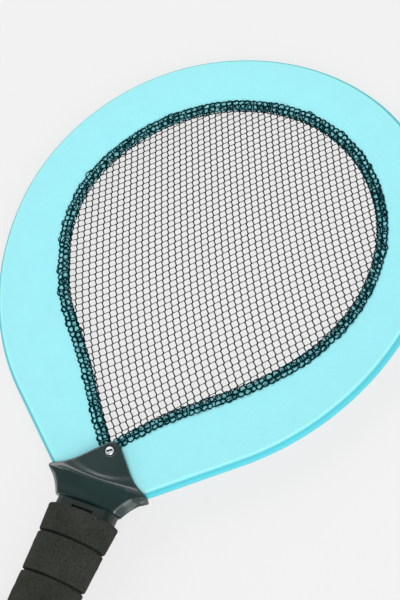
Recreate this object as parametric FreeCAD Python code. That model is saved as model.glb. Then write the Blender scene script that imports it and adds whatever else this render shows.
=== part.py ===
import FreeCAD, Part
import math
import os
from FreeCAD import Vector

# Jumbo soft play racket, in millimetres.
# The origin is the centre of the flat butt end. X runs along the handle to the crown of
# the head, Y runs across the head, and Z points out of its front face.

# Handle
cap_length = 8.0
cap_edge = 2.5
cap_edge_share = 0.3
cap_socket = 4.0
rib_count = 6
rib_length = 22.0
first_rib_length = 15.5
groove_width = 1.0
groove_depth = 2.0
rib_edge = 0.9
rib_edge_step = 0.02
grip_top_width = 40.8
grip_waist_width = 36.0
grip_butt_width = 38.8
grip_depth_share = 0.72
core_width = 28.0
core_height = 14.4
core_corner = 5.0
core_end_inset = 2.5
core_pocket_width = 8.0
core_pocket_height = 8.8
pocket_end_wall = 8.0
pocket_length = 78.0
neck_width = 35.0
neck_height = 11.6
neck_corner = 4.5
neck_length = 5.6
neck_notch_width = 13.0
neck_notch_depth = 1.6
neck_notch_length = 2.6
tongue_length = 8.4
tongue_height = 9.6

# Hoop: half of its outline is a crown arc, a side arc, a throat arc and a straight run
hoop_diameter = 6.0
hoop_wall = 1.0
hoop_crown_radius = 131.2
hoop_side_radius = 115.7
hoop_throat_radius = 144.8
hoop_crown_angle = 22.0
hoop_side_angle = 93.2
hoop_throat_angle = 141.2
hoop_meet_gap = 4.2
tail_spacing = 18.0
tail_bend_radius = 14.0
tail_depth = 38.5

# Fabric cover
cover_thickness = 0.5
cover_tuck = 10.0
hem_lap = 6.0

# Net and its gathered hem, whose outline has its own arcs
net_thickness = 0.4
net_cell = 10.6
net_thread = 1.3
net_tilt = -5.0
net_edge_margin = 0.8
net_least_gap = 6.0
hem_crown_radius = 97.9
hem_side_radius = 85.3
hem_throat_radius = 100.0
hem_crown_angle = 59.9
hem_side_angle = 107.5
hem_throat_angle = 133.5
hem_meet_gap = 26.4
hem_corner_cut = 1.9
hem_width = 6.6
hem_front_thickness = 1.4
hem_back_thickness = 1.2
elastic_diameter = 0.8
elastic_inset = 3.3
elastic_channel = 1.0

# Throat yoke
yoke_length = 36.3
yoke_width = 62.4
yoke_foot_width = 38.8
yoke_wall = 1.8
nose_radius = 5.7
flank_angle = 45.0
wing_height = 12.8
wing_bow = 0.7
waist_bow = 1.9
flank_foot_share = 0.56
valley_run = 4.6
plate_run = 10.0
wing_trim = 0.8
yoke_bevel = 1.2
plate_arch = 0.8
cavity_end = 12.0

# Heights of the yoke's front face above the middle plane, and how its rim is rounded
front_crest = 9.0
front_valley = 6.5
front_plate = 5.6
front_dip = 7.4
front_foot = 8.2
front_wing = 4.9
front_side = 4.4
front_inset = 0.0

# The same for its back face, which is flatter and set in a little
back_crest = 7.4
back_valley = 6.2
back_plate = 5.2
back_dip = 7.0
back_foot = 7.0
back_wing = 4.9
back_side = 4.2
back_inset = 1.2

# Screws
screw_shank = 3.0
tip_head_diameter = 5.0
tip_head_height = 1.7
tip_head_edge = 1.0
tip_head_sink = 0.8
slot_width = 1.0
slot_length = 3.2
slot_depth = 0.9
slot_turn = 35.0
pillar_diameter = 5.8
rear_screw_inset = 5.0
rear_head_sink = 1.2
core_screw_x = 105.0
core_head_diameter = 5.4
core_head_height = 1.6
core_screw_tip_gap = 1.0

# Clearances
seat = 0.05
slip = 0.1
fit = 0.3

# How far a cutting or joining body runs past the face it meets
past = 1.0
roof_past = 4.0
roof_margin = 2.0
touch = 0.01

# Values that follow from the sizes above
hoop_radius = hoop_diameter / 2
cover_radius = hoop_radius + seat + cover_thickness
sleeve_length = first_rib_length + (rib_count - 1) * rib_length
sleeve_top = cap_length + sleeve_length
foot_x = sleeve_top + neck_length
wing_x = foot_x + wing_height
nose_x = foot_x + yoke_length
tip_screw_x = nose_x - nose_radius
rear_screw_x = foot_x + rear_screw_inset
hoop_meet_x = foot_x - hoop_meet_gap
hem_meet_x = foot_x + hem_meet_gap
cover_end_x = foot_x + cover_tuck
tail_y = tail_spacing / 2
seam_z = net_thickness / 2 + seat
hem_seat_z = seam_z + cover_thickness + seat
hoop_radii = (hoop_crown_radius, hoop_side_radius, hoop_throat_radius)
hoop_angles = (hoop_crown_angle, hoop_side_angle, hoop_throat_angle)
hem_radii = (hem_crown_radius, hem_side_radius, hem_throat_radius)
hem_angles = (hem_crown_angle, hem_side_angle, hem_throat_angle)
far = 500.0
front_face = {
    "crest": front_crest, "valley": front_valley, "plate": front_plate, "dip": front_dip,
    "foot": front_foot, "wing": front_wing, "side": front_side, "inset": front_inset,
}
back_face = {
    "crest": back_crest, "valley": back_valley, "plate": back_plate, "dip": back_dip,
    "foot": back_foot, "wing": back_wing, "side": back_side, "inset": back_inset,
}


def save(name, shape):
    """Writes one sub-part and prints its solids and volume."""
    shape.exportStep("parts/" + name + ".step")
    print(name, "solids", len(shape.Solids), "valid", shape.isValid(), "mm3", round(shape.Volume, 1))


def on_circle(centre, radius, degrees):
    """Point at an angle on a circle in the XY plane."""
    turn = math.radians(degrees)
    return Vector(centre.x + radius * math.cos(turn), centre.y + radius * math.sin(turn), centre.z)


def arc(centre, radius, start, end):
    """Arc in the XY plane between two angles in degrees."""
    middle = (start + end) / 2
    points = [on_circle(centre, radius, a) for a in (start, middle, end)]
    return Part.Arc(*points).toShape()


def line(a, b):
    return Part.LineSegment(a, b).toShape()


def teardrop_centres(radii, angles, meet_x):
    """Centres of the arcs on the +Y side. The straight runs, carried on, meet at meet_x."""
    centres = [Vector(0, 0, 0)]
    for i in range(2):
        shift = on_circle(Vector(0, 0, 0), radii[i] - radii[i + 1], angles[i])
        centres.append(centres[-1] + shift)
    end = on_circle(centres[2], radii[2], angles[2])
    turn = math.radians(angles[2])
    run = -end.y / math.cos(turn)
    move = Vector(meet_x - (end.x - run * math.sin(turn)), 0, 0)
    return [c + move for c in centres]


def teardrop_edges(radii, angles, meet_x, end_x, inset=0.0, z=0.0):
    """Open outline from the throat at -Y, round the crown, to the throat at +Y."""
    centres = teardrop_centres(radii, angles, meet_x)
    upper = []
    start = 0.0
    for centre, radius, end in zip(centres, radii, angles):
        upper.append((Vector(centre.x, centre.y, z), radius - inset, start, end))
        start = end
    last = upper[2]
    tangent = on_circle(last[0], last[1], last[3])
    turn = math.radians(angles[2])
    run = (tangent.x - end_x) / math.sin(turn)
    stop = Vector(end_x, tangent.y + run * math.cos(turn), z)
    edges = [line(Vector(stop.x, -stop.y, z), Vector(tangent.x, -tangent.y, z))]
    for centre, radius, a, b in (upper[2], upper[1]):
        edges.append(arc(Vector(centre.x, -centre.y, z), radius, -b, -a))
    crown = upper[0]
    edges.append(arc(crown[0], crown[1], -crown[3], crown[3]))
    for centre, radius, a, b in (upper[1], upper[2]):
        edges.append(arc(centre, radius, a, b))
    edges.append(line(tangent, stop))
    return edges


def closed(edges):
    """Closed wire from an open outline."""
    first = edges[0].Vertexes[0].Point
    last = edges[-1].Vertexes[-1].Point
    return Part.Wire(edges + [line(last, first)])


def prism(wire, low, high):
    """Solid of a flat outline between two heights."""
    base = Part.Face(wire)
    base.translate(Vector(0, 0, low - wire.BoundBox.ZMin))
    return base.extrude(Vector(0, 0, high - low))


def hoop_outline(z=0.0):
    return closed(teardrop_edges(hoop_radii, hoop_angles, hoop_meet_x, cover_end_x, z=z))


def hem_outline(inset=0.0, z=0.0):
    half = math.radians(hem_throat_angle - 90)
    end_x = hem_meet_x + hem_corner_cut + inset / math.sin(half)
    return closed(teardrop_edges(hem_radii, hem_angles, hem_meet_x, end_x, inset, z))


def hoop_path():
    """Centre line of the hoop with its bends and parallel tails."""
    turn = hoop_throat_angle - 90
    reach = tail_bend_radius * math.tan(math.radians(turn) / 2)
    slope = math.tan(math.radians(turn))
    corner = Vector(hoop_meet_x + tail_y / slope, tail_y, 0)
    along = Vector(math.cos(math.radians(turn)), math.sin(math.radians(turn)), 0)
    head = teardrop_edges(hoop_radii, hoop_angles, hoop_meet_x, corner.x + reach * along.x)
    centre = Vector(corner.x - reach, tail_y + tail_bend_radius, 0)
    inner = Vector(corner.x - reach, tail_y, 0)
    end = Vector(sleeve_top - tail_depth, tail_y, 0)
    lower = Vector(centre.x, -centre.y, 0)
    edges = [line(Vector(end.x, -end.y, 0), Vector(inner.x, -inner.y, 0))]
    edges.append(arc(lower, tail_bend_radius, 90, 90 - turn))
    edges += head
    edges.append(arc(centre, tail_bend_radius, turn - 90, -90))
    edges.append(line(inner, end))
    return Part.Wire(edges)


def tube(path, radius):
    """Round bar swept along a path."""
    start = path.Edges[0]
    at = start.valueAt(start.FirstParameter)
    along = start.tangentAt(start.FirstParameter)
    profile = Part.Wire(Part.Circle(at, along, radius).toShape())
    return path.makePipeShell([profile], True, False)


def cylinder_z(x, y, radius, low, high):
    return Part.makeCylinder(radius, high - low, Vector(x, y, low), Vector(0, 0, 1))


def mirror_z(shape):
    return shape.mirror(Vector(0, 0, 0), Vector(0, 0, 1))


def rounded_bar(width, height, corner, x0, x1):
    """Bar along X with a rounded rectangular section."""
    bar = Part.makeBox(x1 - x0, width, height, Vector(x0, -width / 2, -height / 2))
    along = []
    for edge in bar.Edges:
        way = edge.tangentAt(edge.FirstParameter)
        if abs(way.x) > abs(way.y) + abs(way.z):
            along.append(edge)
    return bar.makeFillet(corner, along)


def half_space(front):
    """Everything in front of, or behind, the split plane, with the split's clearance."""
    low = seat / 2 if front else -far
    return Part.makeBox(2 * far, 2 * far, far - seat / 2, Vector(-far, -far, low))


def grip_width(x):
    """The grip is slimmest at its middle and swells to both ends."""
    middle = cap_length + sleeve_length / 2
    end_width = grip_top_width if x > middle else grip_butt_width
    share = abs(x - middle) / (sleeve_length / 2)
    return grip_waist_width + (end_width - grip_waist_width) * share ** 2


def oval_section(x, shrink):
    """Oval section of the grip, drawn in by shrink all round."""
    half_width = grip_width(x) / 2 - shrink
    half_depth = grip_width(x) / 2 * grip_depth_share - shrink
    side = Vector(x, half_width, 0)
    top = Vector(x, 0, half_depth)
    return Part.Wire(Part.Ellipse(side, top, Vector(x, 0, 0)).toShape())


def rib_stations():
    """Where the sleeve's section changes, with how far it is drawn in there."""
    stations = []
    x = cap_length
    for i in range(rib_count):
        length = first_rib_length if i == rib_count - 1 else rib_length
        start = x + (groove_width / 2 if i > 0 else 0)
        end = x + length - (groove_width / 2 if i < rib_count - 1 else 0)
        stations.append((start, groove_depth if i > 0 else rib_edge))
        stations.append((start + rib_edge_step, rib_edge))
        stations.append((start + rib_edge, 0.0))
        stations.append((end - rib_edge, 0.0))
        stations.append((end - rib_edge_step, rib_edge))
        stations.append((end, groove_depth if i < rib_count - 1 else rib_edge))
        x += length
    return stations


def foam_grip_sleeve():
    """One ribbed foam tube over the handle core."""
    body = Part.makeLoft([oval_section(x, shrink) for x, shrink in rib_stations()], True, True)
    width, height = core_width + 2 * fit, core_height + 2 * fit
    return body.cut(rounded_bar(width, height, core_corner + fit, 0, sleeve_top + past))


def butt_cap():
    """Moulded cap that the core's end presses into."""
    middle = cap_edge * cap_edge_share
    stations = [(0.0, cap_edge), (middle, middle), (cap_edge, 0.0), (cap_length - seat, 0.0)]
    sections = []
    for x, shrink in stations:
        half_width = grip_butt_width / 2 - shrink
        half_depth = grip_butt_width / 2 * grip_depth_share - shrink
        ellipse = Part.Ellipse(Vector(x, half_width, 0), Vector(x, 0, half_depth), Vector(x, 0, 0))
        sections.append(Part.Wire(ellipse.toShape()))
    body = Part.makeLoft(sections, True, True)
    socket_x = cap_length - cap_socket
    width, height = core_width + 2 * slip, core_height + 2 * slip
    return body.cut(rounded_bar(width, height, core_corner, socket_x, cap_length + past))


def handle_core():
    """Both halves of the core as one body, before they are split."""
    start = cap_length - cap_socket + seat
    body = rounded_bar(core_width, core_height, core_corner, start, sleeve_top - core_end_inset)
    collar = rounded_bar(neck_width, neck_height, neck_corner, sleeve_top + fit, foot_x + slip)
    link = rounded_bar(core_width, neck_height, neck_corner, start + past, sleeve_top + fit + past)
    tongue_end = foot_x + tongue_length
    tongue = rounded_bar(neck_width - 2 * slip, tongue_height, neck_corner, foot_x - past, tongue_end)
    core = body.fuse([link, collar, tongue])
    core = core.cut(tube(hoop_path(), hoop_radius + seat))
    pocket_start = start + pocket_end_wall
    pocket = Part.makeBox(
        pocket_length, core_pocket_width, core_pocket_height,
        Vector(pocket_start, -core_pocket_width / 2, -core_pocket_height / 2),
    )
    core = core.cut(pocket)
    notch_z = neck_height / 2 - neck_notch_depth
    notch = Part.makeBox(
        neck_notch_length, neck_notch_width, neck_height,
        Vector(sleeve_top + fit, -neck_notch_width / 2, notch_z),
    )
    core = core.cut(notch)
    for y in (-tail_y, tail_y):
        core = core.cut(cylinder_z(core_screw_x, y, screw_shank / 2 + seat, -core_height, core_height))
        seat_z = core_height / 2 - core_head_height - slip
        head = cylinder_z(core_screw_x, y, core_head_diameter / 2 + slip, seat_z, core_height)
        core = core.cut(head)
    rear_hole = cylinder_z(rear_screw_x, 0, screw_shank / 2 + slip, -core_height, core_height)
    return core.cut(rear_hole)


def handle_core_screws():
    """Two screws that pin the core's halves through the hoop's tails."""
    screws = []
    top = core_height / 2 - slip
    for y in (-tail_y, tail_y):
        head = cylinder_z(core_screw_x, y, core_head_diameter / 2, top - core_head_height, top)
        tip = core_screw_tip_gap - core_height / 2
        shank = cylinder_z(core_screw_x, y, screw_shank / 2, tip, top - core_head_height)
        screws.append(head.fuse(shank).removeSplitter())
    return Part.makeCompound(screws)


def hoop_tube():
    """Bent tube with the screw holes in its tails."""
    path = hoop_path()
    shape = tube(path, hoop_radius).cut(tube(path, hoop_radius - hoop_wall))
    for y in (-tail_y, tail_y):
        hole = cylinder_z(core_screw_x, y, screw_shank / 2 + seat, -hoop_diameter, hoop_diameter)
        shape = shape.cut(hole)
    return shape


def dish(lift):
    """Space above the front panel: the hoop's outline at the top and the hem's below."""
    top = cover_radius + lift
    low = seam_z + cover_thickness + lift
    return Part.makeLoft([hoop_outline(top), hem_outline(0, low)], True, True)


def pillar_hole():
    return cylinder_z(tip_screw_x, 0, pillar_diameter / 2 + fit, -far, far)


def cover_front_panel():
    """Taut panel from the top of the hoop down to the hem, flat under the hem."""
    rim = prism(hoop_outline(), cover_radius - cover_thickness, cover_radius)
    lower = dish(-cover_thickness).fuse(rim)
    panel = lower.cut(dish(0))
    opening = prism(hem_outline(hem_lap), -past, cover_radius + past)
    return panel.cut(opening).cut(pillar_hole())


def cover_rim_band():
    """Fabric wrapped round the outer half of the hoop."""
    path = Part.Wire(teardrop_edges(hoop_radii, hoop_angles, hoop_meet_x, cover_end_x))
    start = path.Edges[0]
    at = start.valueAt(start.FirstParameter)
    along = start.tangentAt(start.FirstParameter)
    out = along.cross(Vector(0, 0, 1))
    up = Vector(0, 0, 1)
    inner = hoop_radius + seat
    outer = cover_radius
    edges = [
        Part.Arc(at - up * outer, at + out * outer, at + up * outer).toShape(),
        line(at + up * outer, at + up * inner),
        Part.Arc(at + up * inner, at + out * inner, at - up * inner).toShape(),
        line(at - up * inner, at - up * outer),
    ]
    return path.makePipeShell([Part.Wire(edges)], True, False)


def hexagon(x, y, radius):
    """Hexagonal gap of the net, as a wire."""
    centre = Vector(x, y, -net_thickness / 2)
    points = [on_circle(centre, radius, net_tilt + 60 * k) for k in range(6)]
    return Part.makePolygon(points + [points[0]])


def net_mesh():
    """Flat net as one holed face: hexagons that fit whole inside the hem's opening."""
    outline = hem_outline(seat, -net_thickness / 2)
    opening = Part.Face(hem_outline(hem_lap + net_edge_margin, -net_thickness / 2))
    box = opening.BoundBox
    radius = (net_cell - net_thread) / math.sqrt(3)
    turn = math.radians(net_tilt + 90)
    across = Vector(math.cos(turn), math.sin(turn), 0) * net_cell
    turn = math.radians(net_tilt + 30)
    along = Vector(math.cos(turn), math.sin(turn), 0) * net_cell
    middle = Vector(box.Center.x, 0, -net_thickness / 2)
    reach = int(box.DiagonalLength / net_cell) + 1
    holes = []
    for i in range(-reach, reach + 1):
        for j in range(-reach, reach + 1):
            at = middle + across * i + along * j
            if not box.isInside(at):
                continue
            gap = Part.Face(hexagon(at.x, at.y, radius))
            whole = all(opening.isInside(v.Point, touch, True) for v in gap.Vertexes)
            pieces = [gap] if whole else opening.common(gap).Faces
            holes += [f.OuterWire for f in pieces if f.Area > net_least_gap]
    print("net gaps", len(holes))
    sheet = Part.makeFace([outline] + holes, "Part::FaceMakerBullseye")
    return sheet.extrude(Vector(0, 0, net_thickness)).cut(pillar_hole())


def elastic_path():
    height = hem_seat_z + hem_front_thickness / 2
    end_x = tip_screw_x + pillar_diameter
    return Part.Wire(teardrop_edges(hem_radii, hem_angles, hem_meet_x, end_x, elastic_inset, height))


def hem_band(low, high):
    """Gathered border between the hem's outline and its inner edge."""
    opening = prism(hem_outline(hem_width), low - past, high + past)
    return prism(hem_outline(), low, high).cut(opening).cut(pillar_hole())


def net_hem_front():
    """Front border, with the channel that the elastic runs in."""
    band = hem_band(hem_seat_z, hem_seat_z + hem_front_thickness)
    return band.cut(tube(elastic_path(), elastic_channel / 2))


def yoke_outline(inset):
    """Plan of the yoke, its sides drawn in by inset: nose, flanks, wings and a flat foot."""
    centre = Vector(tip_screw_x, 0, 0)
    turn = math.radians(flank_angle)
    start = on_circle(centre, nose_radius - inset, flank_angle)
    run = (tip_screw_x - wing_x) * flank_foot_share / math.cos(turn)
    bend = start + Vector(-math.sin(turn), math.cos(turn), 0) * run
    wing = Vector(wing_x, yoke_width / 2 - inset, 0)
    foot = Vector(foot_x, yoke_foot_width / 2 - inset, 0)
    chord = wing - bend
    side = Vector(-chord.y, chord.x, 0).normalize()
    wing_middle = (bend + wing) / 2 + side * wing_bow
    chord = foot - wing
    side = Vector(chord.y, -chord.x, 0).normalize()
    foot_middle = (wing + foot) / 2 - side * waist_bow

    def flip(p):
        return Vector(p.x, -p.y, p.z)

    edges = [
        arc(centre, nose_radius - inset, -flank_angle, flank_angle),
        line(start, bend),
        Part.Arc(bend, wing_middle, wing).toShape(),
        Part.Arc(wing, foot_middle, foot).toShape(),
        line(foot, flip(foot)),
        Part.Arc(flip(foot), flip(foot_middle), flip(wing)).toShape(),
        Part.Arc(flip(wing), flip(wing_middle), flip(bend)).toShape(),
        line(flip(bend), flip(start)),
    ]
    return Part.Wire(edges)


def roof_section(x, middle, drop):
    """Arched section across the yoke, square below and lower at the wings by drop."""
    half = yoke_width / 2 + roof_margin
    left = Vector(x, -half, 0)
    right = Vector(x, half, 0)
    up = Vector(0, 0, middle - drop)
    top = Part.Arc(right + up, Vector(x, 0, middle), left + up).toShape()
    return Part.Wire([line(left, right), line(right, right + up), top, line(left + up, left)])


def yoke_roof(face, lower):
    """Space under one face of the yoke. The crest is where its two stretches meet."""
    foot_stations = [
        (foot_x - roof_past, face["foot"]),
        (foot_x + wing_height / 2, face["dip"]),
        (wing_x, face["crest"]),
    ]
    head_stations = [
        (wing_x, face["crest"]),
        (wing_x + valley_run, face["valley"]),
        (wing_x + plate_run, face["plate"]),
        (nose_x + roof_past, face["plate"]),
    ]
    parts = []
    for stations in (foot_stations, head_stations):
        sections = []
        for x, z in stations:
            drop = max(z - face["wing"], plate_arch)
            sections.append(roof_section(x, z - lower, drop))
        parts.append(Part.makeLoft(sections, True, False))
    return parts[0].fuse(parts[1])


def yoke_blank(face):
    """One half of the yoke: its body, its hollow, and the seats of fabric, hoop and neck."""
    rims = []
    for draw, z in (
        (0, seat / 2),
        (0, face["side"]),
        (yoke_bevel, face["side"] + yoke_bevel),
        (2 * yoke_bevel, face["crest"] + yoke_bevel),
    ):
        rim = yoke_outline(face["inset"] + draw)
        rim.translate(Vector(0, 0, z))
        rims.append(rim)
    body = Part.makeLoft(rims, True, True).common(yoke_roof(face, 0))
    half = yoke_width / 2 - face["inset"] - wing_trim
    body = body.common(Part.makeBox(far, 2 * half, far, Vector(0, -half, -far / 2)))
    inner = yoke_outline(face["inset"] + yoke_wall)
    hollow = prism(inner, -past, face["crest"] + past).common(yoke_roof(face, yoke_wall))
    cavity_start = foot_x + yoke_wall
    cavity_length = wing_x + cavity_end - cavity_start
    limit = Part.makeBox(cavity_length, far, far, Vector(cavity_start, -far / 2, -past))
    body = body.cut(hollow.common(limit))
    neck_end = foot_x + 2 * yoke_wall
    neck = rounded_bar(neck_width, tongue_height + 2 * slip, neck_corner, foot_x - past, neck_end)
    body = body.cut(neck)
    under_fabric = prism(hoop_outline(), -past, cover_radius + slip).cut(dish(slip))
    hem = prism(hem_outline(-slip), -past, hem_seat_z + hem_front_thickness + slip)
    rim_path = Part.Wire(teardrop_edges(hoop_radii, hoop_angles, hoop_meet_x, cover_end_x))
    body = body.cut(under_fabric).cut(hem).cut(tube(rim_path, cover_radius + slip))
    return body.cut(tube(hoop_path(), hoop_radius + slip))


def yoke_front_shell():
    """Front shell with the nose screw's seat."""
    shell = yoke_blank(front_face)
    shell = shell.cut(cylinder_z(tip_screw_x, 0, screw_shank / 2 + slip, -far, far))
    seat_z = front_plate - tip_head_sink
    return shell.cut(cylinder_z(tip_screw_x, 0, tip_head_diameter / 2 + slip, seat_z, far))


def yoke_back_shell():
    """Back shell with the pillar that the nose screw bites into."""
    shell = mirror_z(yoke_blank(back_face))
    pillar_top = hem_seat_z + hem_front_thickness
    pillar = cylinder_z(tip_screw_x, 0, pillar_diameter / 2, past - back_plate, pillar_top)
    shell = shell.fuse(pillar)
    pilot_end = yoke_wall - back_plate
    shell = shell.cut(cylinder_z(tip_screw_x, 0, screw_shank / 2 + seat, pilot_end, far))
    shell = shell.cut(cylinder_z(rear_screw_x, 0, screw_shank / 2 + slip, -far, 0))
    seat_z = rear_head_sink - back_dip
    return shell.cut(cylinder_z(rear_screw_x, 0, tip_head_diameter / 2 + slip, -far, seat_z))


def pan_screw(x, head_seat, length, up):
    """Screw along Z with a short slot, its head on head_seat and its shank the other way from up."""
    top = tip_head_height
    head = cylinder_z(0, 0, tip_head_diameter / 2, 0, top)
    rim = [e for e in head.Edges if e.CenterOfMass.z > top - touch and e.Length > top]
    head = head.makeFillet(tip_head_edge, rim)
    corner = Vector(-slot_width / 2, -slot_length / 2, top - slot_depth)
    slot = Part.makeBox(slot_width, slot_length, slot_depth + past, corner)
    slot.rotate(Vector(0, 0, 0), Vector(0, 0, 1), slot_turn)
    shank = cylinder_z(0, 0, screw_shank / 2, -length, 0)
    screw = head.cut(slot).fuse(shank).removeSplitter()
    if up < 0:
        screw = mirror_z(screw)
    return screw.translated(Vector(x, 0, head_seat))


def main():
    os.makedirs("parts", exist_ok=True)
    save("hoop_tube", hoop_tube())
    panel = cover_front_panel()
    save("cover_front_panel", panel)
    save("cover_back_panel", mirror_z(panel))
    save("cover_rim_band", cover_rim_band())
    save("net_mesh", net_mesh())
    save("net_hem_front", net_hem_front())
    save("net_hem_back", hem_band(-hem_seat_z - hem_back_thickness, -hem_seat_z))
    save("hem_elastic", tube(elastic_path(), elastic_diameter / 2))
    save("yoke_front_shell", yoke_front_shell())
    save("yoke_back_shell", yoke_back_shell())
    tip_seat = front_plate - tip_head_sink
    tip_length = tip_seat + back_plate - yoke_wall - slip
    save("yoke_tip_screw", pan_screw(tip_screw_x, tip_seat, tip_length, 1))
    rear_seat = rear_head_sink - back_dip
    rear_length = tongue_height / 2 - rear_seat - slip
    save("yoke_rear_screw", pan_screw(rear_screw_x, rear_seat, rear_length, -1))
    core = handle_core()
    save("handle_core_front", core.common(half_space(True)))
    save("handle_core_back", core.common(half_space(False)))
    save("handle_core_screws", handle_core_screws())
    save("foam_grip_sleeve", foam_grip_sleeve())
    save("butt_cap", butt_cap())


main()
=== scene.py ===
"""Jumbo play racket: a fabric-covered hoop with a knitted net, a moulded yoke and a foam grip."""

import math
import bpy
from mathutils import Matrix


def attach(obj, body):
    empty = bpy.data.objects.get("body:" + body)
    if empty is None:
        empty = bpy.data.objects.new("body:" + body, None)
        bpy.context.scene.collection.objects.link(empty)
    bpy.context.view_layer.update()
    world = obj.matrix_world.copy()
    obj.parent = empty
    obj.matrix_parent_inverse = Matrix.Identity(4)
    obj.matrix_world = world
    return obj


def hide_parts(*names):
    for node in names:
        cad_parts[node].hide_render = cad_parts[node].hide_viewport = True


bl_info = {
    "name": "Jumbo Play Racket",
    "version": (1, 0, 0),
    "blender": (4, 5, 0),
    "location": "View3D > Sidebar > Racket",
    "description": "Builds a netted play racket round its packed solids",
    "category": "Add Mesh",
}

import bpy
import numpy as np
from bpy.props import FloatProperty, FloatVectorProperty, IntProperty, PointerProperty
from mathutils import Matrix, Vector

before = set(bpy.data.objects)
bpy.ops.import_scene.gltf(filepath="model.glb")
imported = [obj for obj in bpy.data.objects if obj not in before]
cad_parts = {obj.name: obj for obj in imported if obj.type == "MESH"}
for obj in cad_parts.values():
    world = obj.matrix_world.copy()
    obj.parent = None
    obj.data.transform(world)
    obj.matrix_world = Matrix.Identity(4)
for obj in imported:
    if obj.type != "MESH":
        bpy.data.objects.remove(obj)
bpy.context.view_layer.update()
MM = 0.001
UP = np.array([0, 0, 1.0])
WHITE = [1, 1, 1, 1]

# Share of the way round the opening, from the throat at -Y to the throat at +Y, and how many
# millimetres the hem stands outside its drawn line there.
SEWN = (
    (0.0, -4.1), (0.045, -4.5), (0.07, -2.7), (0.095, -0.3), (0.125, 1.7), (0.155, 2.2), (0.2, 1.7),
    (0.3, 1.5), (0.4, 1.3), (0.46, 0.7), (0.5, -0.3), (0.56, -1.0), (0.66, -1.1), (0.72, -0.8),
    (0.76, -1.9), (0.79, -2.9), (0.82, -2.1), (0.85, -0.5), (0.91, -0.5), (0.94, 1.1), (0.965, 2.5),
    (1.0, 2.9),
)

# How the net was stretched as it was sewn in: for each power of a cell's place along its two
# rows, the shift in millimetres.
STRETCH = (
    ((0, 0), (293.73, -2.26)), ((1, 0), (3.02, -2.704)), ((0, 1), (-3.355, -1.86)),
    ((2, 0), (-5.145e-3, 3.063e-3)), ((1, 1), (12.7e-3, 0.236e-3)), ((0, 2), (-3.396e-3, -12.14e-3)),
    ((3, 0), (-342.3e-6, -193e-6)), ((2, 1), (27.02e-6, -188.5e-6)), ((1, 2), (3.56e-6, 342.8e-6)),
    ((0, 3), (91.24e-6, -209.6e-6)), ((4, 0), (10.6e-6, 2.313e-6)), ((3, 1), (-6.636e-6, 9.299e-6)),
    ((2, 2), (6.216e-6, -13.59e-6)), ((1, 3), (-1.81e-6, 8.681e-6)), ((0, 4), (1.638e-6, -1.132e-6)),
)

# The band's width round the hoop and its wales' distance. A wave's bands lie WAVE / scale apart.
BAND_MM, WALES_MM = 11.15, 1.1
WAVE = math.tau / 20

# Points on half a teardrop's arcs and straight run, rows of points across the fabric, the width
# its panels are mapped to, and the pitch of points along other lines.
COVER_STEPS, HEM_STEPS = (26, 52, 40, 26), (60, 50, 30, 60)
LAP_ROWS, PANEL_ROWS, ROUND_STEPS = 4, 15, 33
PANEL_WIDTH, LINE_STEP = 30 * MM, 1.5 * MM
CHUNK = 2000

# How far from the middle the net's cells go, and where and how far it rises at the hem.
NET_REACH = 0.15
RISE_START, RISE_RUN, NET_RISE = 1.0 * MM, 2.5 * MM, 1.0 * MM

# Rows of loops in the hem: inset, half their width, half their length and height in millimetres,
# then pitch and strand as shares of the usual. Strands along its edges: inset, height and swing.
HEM_ROWS = ((1.95, 1.5, 1.65, 1.05, 1.0, 1.0), (4.5, 1.5, 1.5, 1.05, 1.04, 1.05))
HEM_EDGES = ((0.8, 1.0, 0.35), (6.3, 1.0, 0.3))
# How unlike each other the loops are, the lean in degrees, and the form they share.
LOOP_LEAN, LOOP_GROWTH, LOOP_SHIFT, LOOP_TILT, LOOP_LIFT = 26, 0.15, 0.32 * MM, 0.12, 0.06 * MM
LOOP_TWIST, LOOP_HEIGHTS, STRAND_FLAT = 0.12 * MM, (0.95 * MM, 2.2 * MM), 0.6
EDGE_STEP, EDGE_WOBBLE, EDGE_RISE, EDGE_PITCH = 0.5 * MM, 0.2, 0.15 * MM, 1.7

# The yoke's outline: the flanks' reach from the nose, how far past the wings their tips stand and
# what they lose, the bow of flanks and waist, and the nose's run, which isn't softened.
FLANK_REACH, WING_RISE, WING_TRIM = 0.56, 1.3 * MM, 1.9 * MM
FLANK_BOW, WAIST_BOW, NOSE_BLEND = 1.5 * MM, 1.2 * MM, 4 * MM
# Heights along the middle of the shells, below and above the crest: place and height in mm.
FRONT_HEIGHTS = (
    ((139.3, 6.2), (139.9, 7.1), (140.3, 7.4), (145, 7.55), (147.5, 7.85), (150, 8.4), (151.9, 9.0)),
    ((151.9, 9.0), (152.3, 8.0), (152.9, 6.4), (153.4, 6.15), (155, 6.08), (156.4, 5.8), (175.5, 5.5)),
)
BACK_HEIGHTS = (
    ((139.3, 7.0), (146, 6.9), (151.9, 7.4)),
    ((151.9, 7.4), (153.5, 6.6), (157, 6.0), (163, 5.3), (175.5, 5.2)),
)
# How far in from a shell's edge its lines of points lie, in mm, and the length of the blunt nose.
DRAWN_IN = (0, 0.12, 0.3, 0.55, 0.9, 1.3, 1.8, 2.5, 3.2, 4.2, 5.5, 7, 9, 11.5, 14.5, 18, 22, 26.5)
NOSE_TIP = 1.7 * MM
# The arch across: the height it comes down to, how far past the edge, and how far in at the foot.
EDGE_HEIGHT, ARCH_PAST, ARCH_DRAW = 4.9 * MM, 2 * MM, 10 * MM
# The bevel's drop at the flanks, what the waist adds, the run below the wings over which it sets
# in, and the lean of the waist's wall. Then the screw's seat.
FLANK_DROP, WAIST_DROP, WAIST_BLEND, WALL_LEAN = 0.9 * MM, 2.4 * MM, 3 * MM, 2 * MM
SEAT_RADIUS, SEAT_WALL, SEAT_DEPTH = 2.8 * MM, 0.25 * MM, 0.8 * MM

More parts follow.
